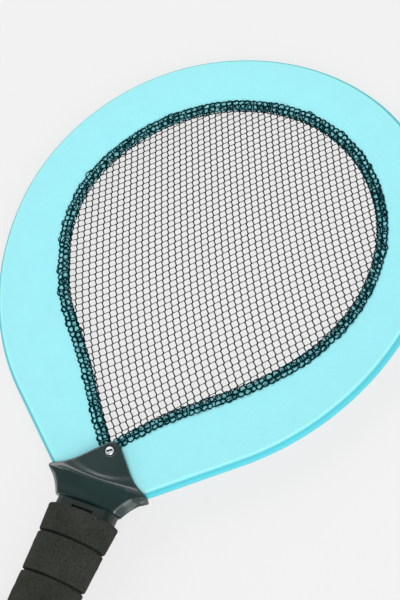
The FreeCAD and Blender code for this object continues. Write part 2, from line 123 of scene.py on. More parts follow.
# The foam's depth below its full form at the grip's ends, on their faces and on a rib, and how
# much a rib swells and is uneven.
END_DEPTH, FACE_DEPTH, RIB_DEPTH, SWELL, UNEVEN = 2.5 * MM, 5 * MM, 0.1 * MM, 0.18 * MM, 0.05 * MM

# Lamps: name, direction and height in degrees, distance, size and power. Then what they face, and
# the camera's lens, place and axes: right, up and back.
LAMPS = (
    ("key_softbox", 50, 36, 3.2, 1.8, 50.0), ("fill_softbox", -133, 43, 3.2, 2.4, 57.0),
    ("low_softbox", -143, 14, 2.4, 0.9, 14.0),
)
AIM = (0.27, 0, 0)
LENS = 106.04
CAMERA_AT = (-0.03695, -0.42107, 0.80955)
CAMERA_AXES = (
    (0.40727, -0.86602, -0.29005), (0.85649, 0.2519, 0.45052), (-0.3171, -0.43191, 0.84433),
)


def linear(code):
    """An sRGB hex colour as linear red, green, blue and alpha."""
    parts = [int(code[i:i + 2], 16) / 255 for i in (0, 2, 4)]
    return [p / 12.92 if p <= 0.04045 else ((p + 0.055) / 1.055) ** 2.4 for p in parts] + [1.0]


def colour(name, code, about):
    """A colour property with its default given as an sRGB hex value."""
    return FloatVectorProperty(
        name=name, description=about, subtype="COLOR", size=4, min=0, max=1, default=linear(code)
    )


def length(name, value, about):
    """A length property whose default is given in millimetres."""
    return FloatProperty(name=name, description=about, unit="LENGTH", precision=5, default=value * MM)


def arcs(name, values, about, unit="LENGTH"):
    """A property for a teardrop's crown, side and throat arc, in millimetres or in degrees."""
    share = MM if unit == "LENGTH" else math.radians(1)
    values = [value * share for value in values]
    return FloatVectorProperty(name=name, description=about, unit=unit, size=3, default=values)


class HeadSizes(bpy.types.PropertyGroup):
    """Sizes of the hoop, its cover and the opening."""

    hoop_radii: arcs("Hoop radii", (131.2, 115.7, 144.8), "Radii of the hoop's arcs")
    hoop_angles: arcs("Hoop angles", (22, 93.2, 141.2), "Where the hoop's arcs end", "ROTATION")
    hoop_meet: length("Hoop meeting", 134.9, "Where the hoop's straight runs would meet")
    cover_end: length("Cover end", 149.1, "Where the cover stops inside the yoke")
    cover_radius: length("Cover radius", 3.55, "Outside radius of the hoop with its fabric")
    hem_radii: arcs("Hem radii", (97.9, 85.3, 100), "Radii of the hem's arcs")
    hem_angles: arcs("Hem angles", (59.9, 107.5, 133.5), "Where the hem's arcs end", "ROTATION")
    hem_meet: length("Hem meeting", 165.5, "Where the hem's straight runs would meet")
    hem_cut: length("Hem corner", 1.9, "How far the hem's corner is cut back")
    hem_height: length("Fabric height at the hem", 0.75, "Top of the fabric where the hem covers it")
    lap: length("Lap", 6.0, "How far the fabric runs on under the hem")


class NetSizes(bpy.types.PropertyGroup):
    """Sizes of the knitted net and of its gathered hem."""

    reach: IntProperty(name="Reach", description="Rows of cells to each side", default=30, min=1)
    strand: length("Cross strand", 0.22, "Radius of the strands that cross between wales")
    wale: length("Wale", 0.3, "Radius of a wale, a row of knitted loops")
    knot: FloatProperty(name="Knot", description="How much thicker a wale is at its knots", default=0.35)
    bend: FloatProperty(name="Bend", description="Swing of a wale, as a share of a cell", default=0.08)
    lean: FloatProperty(name="Lean", description="Where along a cell a cross strand starts", default=0.47)
    under_hem: length("Under the hem", 3.4, "Inset of the outermost cells from the hem's edge")
    hem_width: length("Hem width", 6.8, "Width of the gathered hem")
    loop_pitch: length("Loop pitch", 3.5, "Distance between the hem's gathered loops")
    loop_strand: length("Loop strand", 0.36, "Radius of the strands in the hem")
    elastic: length("Elastic", 0.3, "Radius of the elastic that gathers the hem")
    elastic_inset: length("Elastic inset", 3.3, "Inset of the elastic from the hem's edge")
    elastic_height: length("Elastic height", 1.2, "Height of the elastic in the front hem")
    seed: IntProperty(name="Seed", description="Seed of the hem's unevenness", default=11, min=0)


class YokeSizes(bpy.types.PropertyGroup):
    """Sizes of the moulded throat yoke."""

    foot: length("Foot", 139.3, "Where the yoke starts, above the grip")
    wing: length("Wings", 151.9, "Where the yoke is widest")
    nose: length("Nose", 175.4, "Where the yoke ends")
    half_width: length("Half width", 31.8, "From the middle to a wing's tip")
    half_foot: length("Half foot", 19.8, "From the middle to the foot's corner")
    nose_radius: length("Nose radius", 5.7, "Radius of the nose in plan")
    side_bevel: length("Side bevel", 2.4, "Width of the bevel along the waist")
    flank_bevel: length("Flank bevel", 0.9, "Width of the rounding along the flanks")
    valley_reach: length("Valley reach", 18, "Where the valley is twice as wide as in the middle")


class GripSizes(bpy.types.PropertyGroup):
    """Sizes of the foam grip."""

    start: length("Start", 8.0, "Where the foam starts, above the cap")
    rib: length("Rib", 22.0, "Length of a full rib")
    last_rib: length("Last rib", 15.5, "Length of the rib below the yoke")
    ribs: IntProperty(name="Ribs", description="How many ribs the foam has", default=6, min=2)
    top_width: length("Top width", 40.8, "Width at the yoke's end")
    waist_width: length("Waist width", 36.0, "Width at the slimmest place")
    butt_width: length("Butt width", 38.8, "Width at the cap")
    depth_share: FloatProperty(name="Depth share", description="Depth over width", default=0.72)
    groove: length("Groove", 1.1, "Width of a groove between ribs")
    groove_depth: length("Groove depth", 2.0, "Depth of a groove")
    edge: length("Rib edge", 1.0, "Radius along a rib's edges")


class FinishColours(bpy.types.PropertyGroup):
    """Colours of the racket's finishes."""

    cloth: colour("Cloth", "ACF7FE", "Turquoise of the stretch fabric")
    # The band's deeper turquoise is painted shade: the same cloth as the panels, darker where light falls
    # off round the hoop.
    band: colour("Band", "63D2DF", "Deeper turquoise of the band round the hoop")
    net: colour("Net", "070808", "Near black of the net")
    hem: colour("Hem", "002A2F", "Black with a teal cast of the hem")
    shell: colour("Shell", "172D2C", "Black with a green cast of the moulded yoke")
    foam: colour("Foam", "343731", "Dark olive grey of the foam")
    paper: colour("Background", "F1F1F1", "Pale paper sweep under the racket")


def teardrop(radii, angles, meet, end, steps, inset=0.0):
    """Points and outward directions round a teardrop, from the throat at -Y to the throat at +Y."""
    ends = [np.array([math.cos(angle), math.sin(angle)]) for angle in angles]
    centres = [np.zeros(2)]
    for i in range(2):
        centres.append(centres[-1] + (radii[i] - radii[i + 1]) * ends[i])
    last = ends[2]
    tangent = centres[2] + radii[2] * last
    move = meet - (tangent[0] + tangent[1] / last[0] * last[1])
    points, normals = [], []
    start = 0.0
    for centre, radius, stop, count in zip(centres, radii, angles, steps):
        turn = np.linspace(start, stop, count, endpoint=False)
        out = np.stack([np.cos(turn), np.sin(turn)], 1)
        points.append(centre + (radius - inset) * out)
        normals.append(out)
        start = stop
    tangent = centres[2] + (radii[2] - inset) * last
    run = (tangent[0] + move - end) / last[1]
    along = np.linspace(0, run, steps[3])[:, None]
    points.append(tangent + along * np.array([-last[1], last[0]]))
    normals.append(np.repeat(last[None], steps[3], 0))
    points, normals = np.concatenate(points), np.concatenate(normals)
    points[:, 0] += move
    flip = np.array([1, -1])
    both = np.concatenate([(points * flip)[:0:-1], points])
    return both, np.concatenate([(normals * flip)[:0:-1], normals])


def run_along(points):
    """How far along a line each of its points lies."""
    return np.concatenate([[0], np.cumsum(np.linalg.norm(np.diff(points, axis=0), axis=1))])


def evenly(points, normals, pitch):
    """The same line with points one pitch apart, and its length at each."""
    run = run_along(points)
    at = np.linspace(0, run[-1], int(run[-1] / pitch) + 1)
    points, normals = (
        np.stack([np.interp(at, run, line[:, i]) for i in (0, 1)], 1) for line in (points, normals)
    )
    return points, normals / np.linalg.norm(normals, axis=1)[:, None], at


def at_height(flat, height):
    """Flat points lifted to one height."""
    return np.column_stack([flat, np.full(len(flat), height)])


def grid(rows, columns, close_rows=False, close_columns=False):
    """Quads of a grid of points, row by row."""
    i = np.arange(rows if close_rows else rows - 1)[:, None]
    j = np.arange(columns if close_columns else columns - 1)[None]
    after, beside = (i + 1) % rows, (j + 1) % columns
    corners = [i * columns + j, after * columns + j, after * columns + beside, i * columns + beside]
    return np.stack(np.broadcast_arrays(*corners), -1).reshape(-1, 4)


def strands(paths, radius, sides=6, closed=True, flat=1.0):
    """Strands along many paths at once, of one radius or one for each step, flattened if need be."""
    count, steps = paths.shape[:2]
    if closed:
        along = np.roll(paths, -1, 1) - np.roll(paths, 1, 1)
    else:
        along = np.gradient(paths, axis=1)
    along /= np.linalg.norm(along, axis=2)[..., None] + 1e-12
    side = np.cross(np.broadcast_to(UP, paths.shape), along)
    side /= np.linalg.norm(side, axis=2)[..., None] + 1e-12
    over = np.cross(along, side) * flat
    turn = np.linspace(0, math.tau, sides, endpoint=False)
    ring = np.cos(turn)[:, None] * side[:, :, None] + np.sin(turn)[:, None] * over[:, :, None]
    points = paths[:, :, None] + np.broadcast_to(radius, steps)[:, None, None] * ring
    one = grid(steps, sides, closed, True)
    quads = one[None] + (np.arange(count) * steps * sides)[:, None, None]
    return points.reshape(-1, 3), quads.reshape(-1, 4)


def joined(parts):
    """Several (points, quads) as one."""
    points, quads, start = [], [], 0
    for p, q in parts:
        points.append(p)
        quads.append(q + start)
        start += len(p)
    return np.concatenate(points), np.concatenate(quads)


def piece(name, points, quads, material, sharp=None):
    """A mesh object that rides with the racket, with its finish."""
    mesh = bpy.data.meshes.new(name)
    mesh.from_pydata(points.tolist(), [], quads.tolist())
    mesh.validate()
    mesh.polygons.foreach_set("use_smooth", [True] * len(mesh.polygons))
    if sharp is not None:
        mesh.set_sharp_from_angle(angle=math.radians(sharp))
    mesh.materials.append(material)
    made = bpy.data.objects.new(name, mesh)
    bpy.context.scene.collection.objects.link(made)
    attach(made, "root")
    return made


def clothed(made, run, width, rows):
    """Gives a piece a UV map in metres, along and across its cloth."""
    coordinates = np.stack(np.meshgrid(run, np.linspace(0, width, rows)), -1).reshape(-1, 2)
    layer = made.data.uv_layers.new(name="cloth")
    index = np.empty(len(made.data.loops), int)
    made.data.loops.foreach_get("vertex_index", index)
    layer.data.foreach_set("uv", coordinates[index].ravel())


def add_node(tree, kind, settings=None, values=None, links=None):
    """Adds a node with its settings, socket values and links."""
    made = tree.nodes.new(kind)
    for key, value in (settings or {}).items():
        setattr(made, key, value)
    for key, value in (values or {}).items():
        made.inputs[key].default_value = value
    for key, (source, output) in (links or {}).items():
        tree.links.new(source.outputs[output], made.inputs[key])
    return made


def fresh(name):
    """An empty node material, its tree and its coordinates."""
    material = bpy.data.materials.new(name)
    material.use_nodes = True
    tree = material.node_tree
    tree.nodes.clear()
    return material, tree, add_node(tree, "ShaderNodeTexCoord")


def ended(material, shader, output):
    """Gives a material its last shader."""
    add_node(material.node_tree, "ShaderNodeOutputMaterial", links={"Surface": (shader, output)})
    return material


def principled(material, values, links):
    """Ends a material with a principled shader of those values and links."""
    face = add_node(material.node_tree, "ShaderNodeBsdfPrincipled", values=values, links=links)
    return ended(material, face, "BSDF")


def ramp(tree, source, output, stops):
    """A colour ramp over stops of position and colour."""
    made = add_node(tree, "ShaderNodeValToRGB", links={"Fac": (source, output)})
    bands = made.color_ramp.elements
    bands[0].position, bands[0].color = stops[0]
    bands[1].position, bands[1].color = stops[-1]
    for position, shade in stops[1:-1]:
        bands.new(position).color = shade
    return made


def shaded(base, amount):
    """A colour made darker, or lighter with an amount above 1."""
    return [min(c * amount, 1.0) for c in base[:3]] + [1.0]


def noise(tree, place, grain_mm, detail, roughness=0.5):
    """A noise whose grains are about that many millimetres across."""
    return add_node(
        tree, "ShaderNodeTexNoise",
        values={"Scale": 1 / (grain_mm * MM), "Detail": detail, "Roughness": roughness},
        links={"Vector": (place, "Object")},
    )


def relief(tree, strength, depth_mm, source, output):
    """A bump of that depth in millimetres."""
    return add_node(
        tree, "ShaderNodeBump", values={"Strength": strength, "Distance": depth_mm * MM},
        links={"Height": (source, output)},
    )


def multiplied(tree, factor, first, second):
    """Two colours multiplied, each given as a node and its output."""
    return add_node(
        tree, "ShaderNodeMix", {"data_type": "RGBA", "blend_type": "MULTIPLY"}, {"Factor": factor},
        {"A": first, "B": second},
    )


def knit(name, base, deep=None):
    """Polyester and elastane warp knit, matt and faintly ribbed. Given deep, the band's, with painted
    highlight and painted shade round the hoop.
    """
    material, tree, place = fresh(name)
    # The wales are drawn wider than the real ones, which are too fine to show in the render.
    wales = add_node(
        tree, "ShaderNodeTexWave", {"bands_direction": "X" if deep else "Y", "wave_profile": "SIN"},
        {"Scale": WAVE / (WALES_MM * MM), "Distortion": 0.6, "Detail": 2.0, "Detail Scale": 3.0},
        {"Vector": (place, "UV" if deep else "Object")},
    )
    if deep:
        # A painted highlight where the band turns over the rim, a painted shade line past it, then painted
        # shade down the side.
        across = add_node(tree, "ShaderNodeSeparateXYZ", links={"Vector": (place, "UV")})
        share = add_node(
            tree, "ShaderNodeMath", {"operation": "MULTIPLY"}, {1: 1 / (BAND_MM * MM)}, {0: (across, "Y")}
        )
        # pale is the painted highlight, shade the painted shade line, deep the painted shade of the side.
        pale = shaded(base, 1.12)
        shade = [deep[0] * 0.7, deep[1] * 0.91, deep[2] * 0.94, 1.0]
        painted_light_stops = [(0.0, base), (0.05, pale), (0.13, pale), (0.22, shade), (0.4, deep)]
        tone = ramp(tree, share, "Value", painted_light_stops + [(1 - at, tint) for at, tint in reversed(painted_light_stops)])
        crease = [0.66, 0.91, 0.93, 1]
    else:
        cloudy = noise(tree, place, 14, 3.0, 0.6)
        tone = ramp(tree, cloudy, "Fac", [(0.3, shaded(base, 0.985)), (0.7, shaded(base, 1.01))])
        crease = [0.8, 0.95, 0.96, 1]
    lines = ramp(tree, wales, "Fac", [(0.0, crease), (1.0, WHITE)])
    striped = multiplied(tree, 0.8, (tone, "Color"), (lines, "Color"))
    loops = noise(tree, place, 0.6, 2.0, 0.6)
    grain = ramp(tree, loops, "Fac", [(0.35, [0.86, 0.95, 0.96, 1]), (0.65, WHITE)])
    speckled = multiplied(tree, 0.6, (striped, "Result"), (grain, "Color"))
    height = add_node(
        tree, "ShaderNodeMath", {"operation": "MULTIPLY_ADD"}, {1: 0.6},
        {0: (wales, "Fac"), 2: (loops, "Fac")},
    )
    bump = relief(tree, 0.25, 0.08, height, "Value")
    face = add_node(
        tree, "ShaderNodeBsdfPrincipled", values={"Roughness": 0.85, "Sheen Weight": 0.15},
        links={"Base Color": (speckled, "Result"), "Normal": (bump, "Normal")},
    )
    through = add_node(
        tree, "ShaderNodeBsdfTranslucent",
        links={"Color": (speckled, "Result"), "Normal": (bump, "Normal")},
    )
    both = add_node(
        tree, "ShaderNodeMixShader", values={"Fac": 0.12},
        links={1: (face, "BSDF"), 2: (through, "BSDF")},
    )
    return ended(material, both, "Shader")


def net_cord(name, base, roughness, gleam=0.06):
    """Polyester filament yarn, knitted: near black, with a dull sheen on the strands."""
    material, tree, place = fresh(name)
    # The twist is drawn coarser than the real yarn's filaments.
    twist = noise(tree, place, 0.9, 3.0)
    tone = ramp(tree, twist, "Fac", [(0.35, shaded(base, 0.6)), (0.7, shaded(base, 2.0))])
    bump = relief(tree, 0.4, 0.08, twist, "Fac")
    return principled(
        material, {"Roughness": roughness, "Specular IOR Level": gleam},
        {"Base Color": (tone, "Color"), "Normal": (bump, "Normal")},
    )


def moulded(name, base, roughness, texture_mm, depth_mm):
    """Injection-moulded thermoplastic: a fine even skin over faint flow waves."""
    material, tree, place = fresh(name)
    skin = noise(tree, place, texture_mm, 2.0)
    flow = noise(tree, place, 18, 2.0)
    tone = ramp(tree, flow, "Fac", [(0.3, shaded(base, 0.85)), (0.7, shaded(base, 1.25))])
    dull = add_node(
        tree, "ShaderNodeMapRange",
        values={"From Min": 0.3, "From Max": 0.7, "To Min": roughness - 0.04, "To Max": roughness + 0.05},
        links={"Value": (skin, "Fac")},
    )
    bump = relief(tree, 0.3, depth_mm, skin, "Fac")
    return principled(
        material, {"IOR": 1.5},
        {"Base Color": (tone, "Color"), "Roughness": (dull, "Result"), "Normal": (bump, "Normal")},
    )


def eva_foam(name, base):
    """Closed-cell EVA foam, cut and buffed: matt, with open pores and rubbed patches."""
    material, tree, place = fresh(name)
    pores = add_node(
        tree, "ShaderNodeTexVoronoi", {"feature": "F1"}, {"Scale": 1 / (0.7 * MM), "Randomness": 1.0},
        {"Vector": (place, "Object")},
    )
    grain = noise(tree, place, 1.1, 4.0, 0.7)
    rubbed = noise(tree, place, 16, 4.0, 0.6)
    tone = ramp(tree, rubbed, "Fac", [(0.3, shaded(base, 0.8)), (0.7, shaded(base, 1.3))])
    flecks = [(0.36, [0.4, 0.4, 0.38, 1]), (0.52, [0.8, 0.8, 0.8, 1]), (0.66, WHITE)]
    specks = ramp(tree, grain, "Fac", flecks)
    mixed = multiplied(tree, 0.9, (tone, "Color"), (specks, "Color"))
    height = add_node(
        tree, "ShaderNodeMath", {"operation": "ADD"}, links={0: (pores, "Distance"), 1: (grain, "Fac")}
    )
    bump = relief(tree, 0.35, 0.12, height, "Value")
    return principled(
        material, {"Roughness": 0.92, "Specular IOR Level": 0.15},
        {"Base Color": (mixed, "Result"), "Normal": (bump, "Normal")},
    )


def zinc_steel(name):
    """Bright zinc-plated steel: pale, finely mottled, with a soft shine."""
    material, tree, place = fresh(name)
    mottle = noise(tree, place, 0.5, 3.0)
    tone = ramp(tree, mottle, "Fac", [(0.3, linear("C9D8D8")), (0.7, linear("EEF6F6"))])
    dull = add_node(
        tree, "ShaderNodeMapRange", values={"To Min": 0.22, "To Max": 0.42}, links={"Value": (mottle, "Fac")}
    )
    # Painted shade in the slot and round the shank: dark wherever other faces stand close.
    open_air = add_node(tree, "ShaderNodeAmbientOcclusion", values={"Distance": 1.6 * MM})
    painted_recess_shade = ramp(tree, open_air, "AO", [(0.45, linear("101616")), (0.8, WHITE)])
    tone_with_painted_shade = multiplied(tree, 1.0, (tone, "Color"), (painted_recess_shade, "Color"))
    return principled(
        material, {"Metallic": 0.85},
        {"Base Color": (tone_with_painted_shade, "Result"), "Roughness": (dull, "Result")},
    )


def paper_sweep(name, base, lift):
    """Matt studio paper with a faint tooth, brightened from behind so that its shadows stay soft."""
    material, tree, place = fresh(name)
    tooth = noise(tree, place, 2, 2.0)
    tone = ramp(tree, tooth, "Fac", [(0.0, shaded(base, 0.995)), (1.0, base)])
    face = add_node(
        tree, "ShaderNodeBsdfPrincipled", values={"Roughness": 1.0, "Specular IOR Level": 0.0},
        links={"Base Color": (tone, "Color")},
    )
    glow = add_node(tree, "ShaderNodeEmission", links={"Color": (tone, "Color")})
    # The glow shows to the camera, in reflections and through clear pieces, and lights nothing.
    rays = add_node(tree, "ShaderNodeLightPath")
    seen = (rays, "Is Camera Ray")
    for kind in ("Is Glossy Ray", "Is Transmission Ray"):
        either = add_node(
            tree, "ShaderNodeMath", {"operation": "ADD", "use_clamp": True},
            links={0: seen, 1: (rays, kind)},
        )
        seen = (either, "Value")
    share = add_node(tree, "ShaderNodeMath", {"operation": "MULTIPLY"}, {1: lift}, {0: seen})
    both = add_node(
        tree, "ShaderNodeMixShader",
        links={"Fac": (share, "Value"), 1: (face, "BSDF"), 2: (glow, "Emission")},
    )
    return ended(material, both, "Shader")


def studio_sky(world, overhead, around):
    """A studio with a darker ceiling and paler walls, as the direction's height sets it."""
    world.use_nodes = True
    tree = world.node_tree
    tree.nodes.clear()
    place = add_node(tree, "ShaderNodeTexCoord")
    height = add_node(tree, "ShaderNodeSeparateXYZ", links={"Vector": (place, "Generated")})
    fade = add_node(
        tree, "ShaderNodeMapRange", {"interpolation_type": "SMOOTHSTEP"},
        {"From Min": 0.35, "From Max": 0.72, "To Min": around, "To Max": overhead},
        {"Value": (height, "Z")},
    )
    sky = add_node(
        tree, "ShaderNodeBackground", values={"Color": WHITE}, links={"Strength": (fade, "Result")}
    )
    add_node(tree, "ShaderNodeOutputWorld", links={"Surface": (sky, "Background")})


class RACKET_OT_cover(bpy.types.Operator):
    """Builds the stretch-fabric panels and the band round the hoop"""

    bl_idname = "racket.cover"
    bl_label = "Fabric Cover"

    def execute(self, context):
        sizes, shades = context.scene.racket_head, context.scene.racket_colours
        hoop, out = teardrop(
            sizes.hoop_radii, sizes.hoop_angles, sizes.hoop_meet, sizes.cover_end, COVER_STEPS
        )
        hem_end = sizes.hem_meet + sizes.hem_cut
        hem, hem_out = teardrop(sizes.hem_radii, sizes.hem_angles, sizes.hem_meet, hem_end, COVER_STEPS)
        hem = sewn(hem, hem_out)
        lap = hem - sizes.lap * hem_out
        run = run_along(hoop)
        radius, low = sizes.cover_radius, sizes.hem_height
        # The fabric meets the tube where its slope is the tube's own, so no crease shows.
        slope = math.asin((radius - low) / np.linalg.norm(hoop - hem, axis=1).mean())
        touch = hoop - radius * math.sin(slope) * out
        crest = radius * math.cos(slope)
        # The lap rises from half the hem's height, and the panel runs on from the hem to the tube.
        rows = [
            at_height(lap + (hem - lap) * share, low * (0.5 + 0.5 * share))
            for share in np.linspace(0, 1, LAP_ROWS, endpoint=False)
        ] + [
            at_height(hem + (touch - hem) * share, low + (crest - low) * share)
            for share in np.linspace(0, 1, PANEL_ROWS)
        ]
        knitted = knit("knit_polyester_panel", list(shades.cloth))
        # The band's knit carries the painted highlight and painted shade round the hoop.
        ribbed = knit("knit_polyester_band", list(shades.cloth), list(shades.band))
        shape = np.stack(rows).reshape(-1, 3)
        quads = grid(len(rows), len(hoop))
        front = piece("fabric_front", shape, quads[:, ::-1], knitted)
        back = piece("fabric_back", shape * [1, 1, -1], quads, knitted)
        for made, node in ((front, "cover_front_panel"), (back, "cover_back_panel")):
            clothed(made, run, PANEL_WIDTH, len(rows))
            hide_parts(node)
        turn = np.linspace(math.pi / 2 + slope, -math.pi / 2 - slope, ROUND_STEPS)
        ring = hoop[None] + radius * np.cos(turn)[:, None, None] * out[None]
        height = np.broadcast_to((radius * np.sin(turn))[:, None], ring.shape[:2])
        shape = np.concatenate([ring, height[..., None]], 2).reshape(-1, 3)
        made = piece("fabric_band", shape, grid(len(turn), len(hoop)), ribbed)
        clothed(made, run, math.pi * radius, len(turn))
        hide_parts("cover_rim_band")
        return {"FINISHED"}


def sewn(points, out):
    """The opening as it was sewn by hand: in or out of its drawn line by a few millimetres."""
    run = run_along(points)
    share = np.linspace(0, 1, 201)
    places, shifts = zip(*SEWN)
    drawn = smoothed(np.interp(share, places, shifts), 7)
    return points + np.interp(run / run[-1], share, drawn)[:, None] * MM * out


def hem_line(context, inset, pitch):
    """Points, outward directions and lengths along the hem, drawn in by inset."""
    sizes = context.scene.racket_head
    half = sizes.hem_angles[2] - math.pi / 2
    end = sizes.hem_meet + sizes.hem_cut + inset / math.sin(half)
    points, out = teardrop(sizes.hem_radii, sizes.hem_angles, sizes.hem_meet, end, HEM_STEPS, inset)
    return evenly(sewn(points, out), out, pitch)


def stretched(places):
    """Where places in the net's rows and columns lie once the net is sewn in."""
    return sum(
        np.outer(places[:, 0] ** row * places[:, 1] ** column, shift)
        for (row, column), shift in STRETCH
    ) * MM


class RACKET_OT_net(bpy.types.Operator):
    """Knits the net, cell by cell, out to the hem"""

    bl_idname = "racket.net"
    bl_label = "Net"

    def execute(self, context):
        net, shades = context.scene.racket_net, context.scene.racket_colours
        throat = context.scene.racket_head.hem_meet
        edge, out, _ = hem_line(context, net.under_hem, LINE_STEP)
        inner, inner_out, _ = hem_line(context, net.hem_width, LINE_STEP)
        span = np.arange(-net.reach, net.reach + 1.0)
        cells = np.stack(np.meshgrid(span, span), -1).reshape(-1, 2)
        middles = stretched(cells)
        # The stretch means nothing far outside the opening, so cells out there go first.
        near = (np.abs(middles - edge.mean(0)).max(1) < NET_REACH) & (middles[:, 0] > throat)
        cells, middles = cells[near], middles[near]
        cells = cells[beyond(middles, edge, out) < 0]
        # A wale runs between two rows of cells and bends towards one and then the other.
        along = np.linspace(0, 1, 10)
        gap = 1 - 2 * net.lean
        bend = np.where(
            along < gap, np.cos(math.pi * along / gap), -np.cos(math.pi * (along - gap) / (1 - gap))
        )
        wale = np.column_stack([0.5 + net.bend * bend, along + net.lean - 1])
        across = np.linspace(0, 1, 6)[:, None]
        start, end = np.array([net.bend - 0.5, net.lean]), np.array([0.5 - net.bend, 1 - net.lean])
        cross = start * (1 - across) + end * across
        parts = []
        for line, radius in ((wale, net.wale * (1 + net.knot * bend ** 2)), (cross, net.strand)):
            paths = stretched((cells[:, None] + line).reshape(-1, 2)).reshape(len(cells), -1, 2)
            over = beyond(paths.reshape(-1, 2), inner, inner_out).reshape(paths.shape[:2])
            # Under the hem the net rises onto the fabric.
            rise = np.clip((over + RISE_START) / RISE_RUN, 0, 1)
            height = NET_RISE * rise ** 2 * (3 - 2 * rise)
            paths = np.concatenate([paths, height[..., None]], 2)
            parts.append(strands(paths, radius, closed=False))
        points, quads = joined(parts)
        cord = net_cord("knitted_net_yarn", list(shades.net), 0.6)
        made = piece("net", points, quads, cord)
        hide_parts("net_mesh")
        return {"FINISHED"}


def nearest(points, line):
    """For each point, which point of a line lies nearest, and the way from there."""
    which = np.concatenate([
        ((points[i:i + CHUNK, None] - line[None]) ** 2).sum(2).argmin(1)
        for i in range(0, len(points), CHUNK)
    ])
    return which, points - line[which]


def beyond(points, line, out):
    """How far each point lies outside a closed line, below zero inside it."""
    which, away = nearest(points, line)
    return (away * out[which]).sum(1)


class RACKET_OT_hem(bpy.types.Operator):
    """Gathers the net into looped hems, front and back, with their elastic"""

    bl_idname = "racket.hem"
    bl_label = "Net Hem"

    def execute(self, context):
        net, shades = context.scene.racket_net, context.scene.racket_colours
        chance = np.random.default_rng(net.seed)
        cord = net_cord("gathered_hem_yarn", list(shades.hem), 0.55, gleam=0.0)
        for name, node, side, low in (
            ("hem_front", "net_hem_front", 1, 0.0), ("hem_back", "net_hem_back", -1, 0.4),
        ):
            parts = [self.loops(context, row, side, low, chance) for row in HEM_ROWS]
            parts += [self.edge(context, row, side, chance) for row in HEM_EDGES]
            points, quads = joined(parts)
            made = piece(name, points, quads, cord)
            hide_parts(node)
        rubber = net_cord("yarn_covered_elastic", list(shades.hem), 0.6, gleam=0.0)
        points, _, _ = hem_line(context, net.elastic_inset, LINE_STEP)
        points, quads = strands(at_height(points, net.elastic_height)[None], net.elastic, 8)
        made = piece("elastic_cord", points, quads, rubber)
        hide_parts("hem_elastic")
        return {"FINISHED"}

    def loops(self, context, row, side, low, chance):
        """One row of gathered loops, each leaning, grown, shifted and tilted by chance."""
        net = context.scene.racket_net
        inset, across, along, height, pitch, strand = row
        turn = np.linspace(0, math.tau, 14, endpoint=False)
        points, out, _ = hem_line(context, inset * MM, net.loop_pitch * pitch)
        count = len(points)
        lean = np.radians(chance.normal(0, LOOP_LEAN, count))
        grow = chance.normal(1, LOOP_GROWTH, (count, 1))
        shift = chance.normal(0, LOOP_SHIFT, (count, 2))
        tangent = np.stack([-out[:, 1], out[:, 0]], 1)
        a = across * MM * grow * np.cos(turn)
        b = along * MM * grow * np.sin(turn)
        u = a * np.cos(lean)[:, None] - b * np.sin(lean)[:, None]
        v = a * np.sin(lean)[:, None] + b * np.cos(lean)[:, None]
        flat = (points + shift)[:, None] + u[..., None] * out[:, None] + v[..., None] * tangent[:, None]
        tilt = chance.normal(0, LOOP_TILT, (count, 1))
        z = (height - low) * MM + LOOP_TWIST * np.cos(2 * turn) + tilt * u
        z += LOOP_LIFT * chance.normal(0, 1, (count, 1))
        z = np.clip(z, *LOOP_HEIGHTS)
        paths = np.concatenate([flat, side * z[..., None]], 2)
        return strands(paths, net.loop_strand * strand, flat=STRAND_FLAT)

    def edge(self, context, row, side, chance):
        """A strand that runs along an edge of the hem and swings with its loops."""
        net = context.scene.racket_net
        inset, height, swing = row
        points, out, run = hem_line(context, inset * MM, EDGE_STEP)
        wobble = chance.normal(0, EDGE_WOBBLE, len(run))
        wave = swing * MM * np.sin(math.tau * run / net.loop_pitch + wobble)
        rise = EDGE_RISE * np.sin(math.tau * run / (EDGE_PITCH * net.loop_pitch))
        path = np.column_stack([points + wave[:, None] * out, side * (height * MM + rise)])
        return strands(path[None], net.loop_strand, closed=False, flat=STRAND_FLAT)


def yoke_half_width(x, sizes, inset):
    """Half the yoke's width along its length: foot, wings, flanks and nose."""
    centre, radius = sizes.nose - sizes.nose_radius, sizes.nose_radius - inset
    start = np.array([centre + radius * math.cos(math.pi / 4), radius * math.sin(math.pi / 4)])
    reach = (centre - sizes.wing) * FLANK_REACH
    bend = start + np.array([-reach, reach])
    wing = np.array([sizes.wing + WING_RISE, sizes.half_width - inset])
    foot = np.array([sizes.foot, sizes.half_foot - inset])
    line = [[start], bowed(bend, wing, FLANK_BOW), bowed(wing, foot, WAIST_BOW)[1:]]
    line = np.concatenate(line)[::-1]
    # The wings' tips are cut off, and the line is softened as far as the nose.
    fine = np.linspace(sizes.foot, sizes.nose, 361)
    trimmed = np.minimum(np.interp(fine, *line.T), sizes.half_width - inset - WING_TRIM)
    soft = np.interp(x, fine, smoothed(trimmed, 41))
    width = np.where(x < start[0] - NOSE_BLEND, soft, np.interp(x, *line.T))
    nose = x > start[0]
    width[nose] = np.sqrt(np.clip(radius ** 2 - (x[nose] - centre) ** 2, 0, None))
    return width


def bowed(a, b, bow):
    """Points along a run that bows inwards by that much."""
    share = np.linspace(0, 1, 25)[:, None]
    chord = b - a
    side = np.array([-chord[1], chord[0]]) / np.linalg.norm(chord)
    if side[1] > 0:
        side = -side
    return a + chord * share + side * bow * 4 * share * (1 - share)


def smoothed(values, width):
    """Values softened along the line by a window of that many points."""
    window = np.hanning(width + 2)[1:-1]
    window /= window.sum()
    padded = np.pad(values, width // 2, mode="reflect", reflect_type="odd")
    return np.convolve(padded, window, "valid")[:len(values)]


def profile(at, stations, count, window):
    """Heights at places along a line of count points, softened, through stations given in mm."""
    places, heights = (np.array(stations) * MM).T
    fine = np.linspace(places[0], places[-1], count)
    return np.interp(at, fine, smoothed(np.interp(fine, places, heights), window))


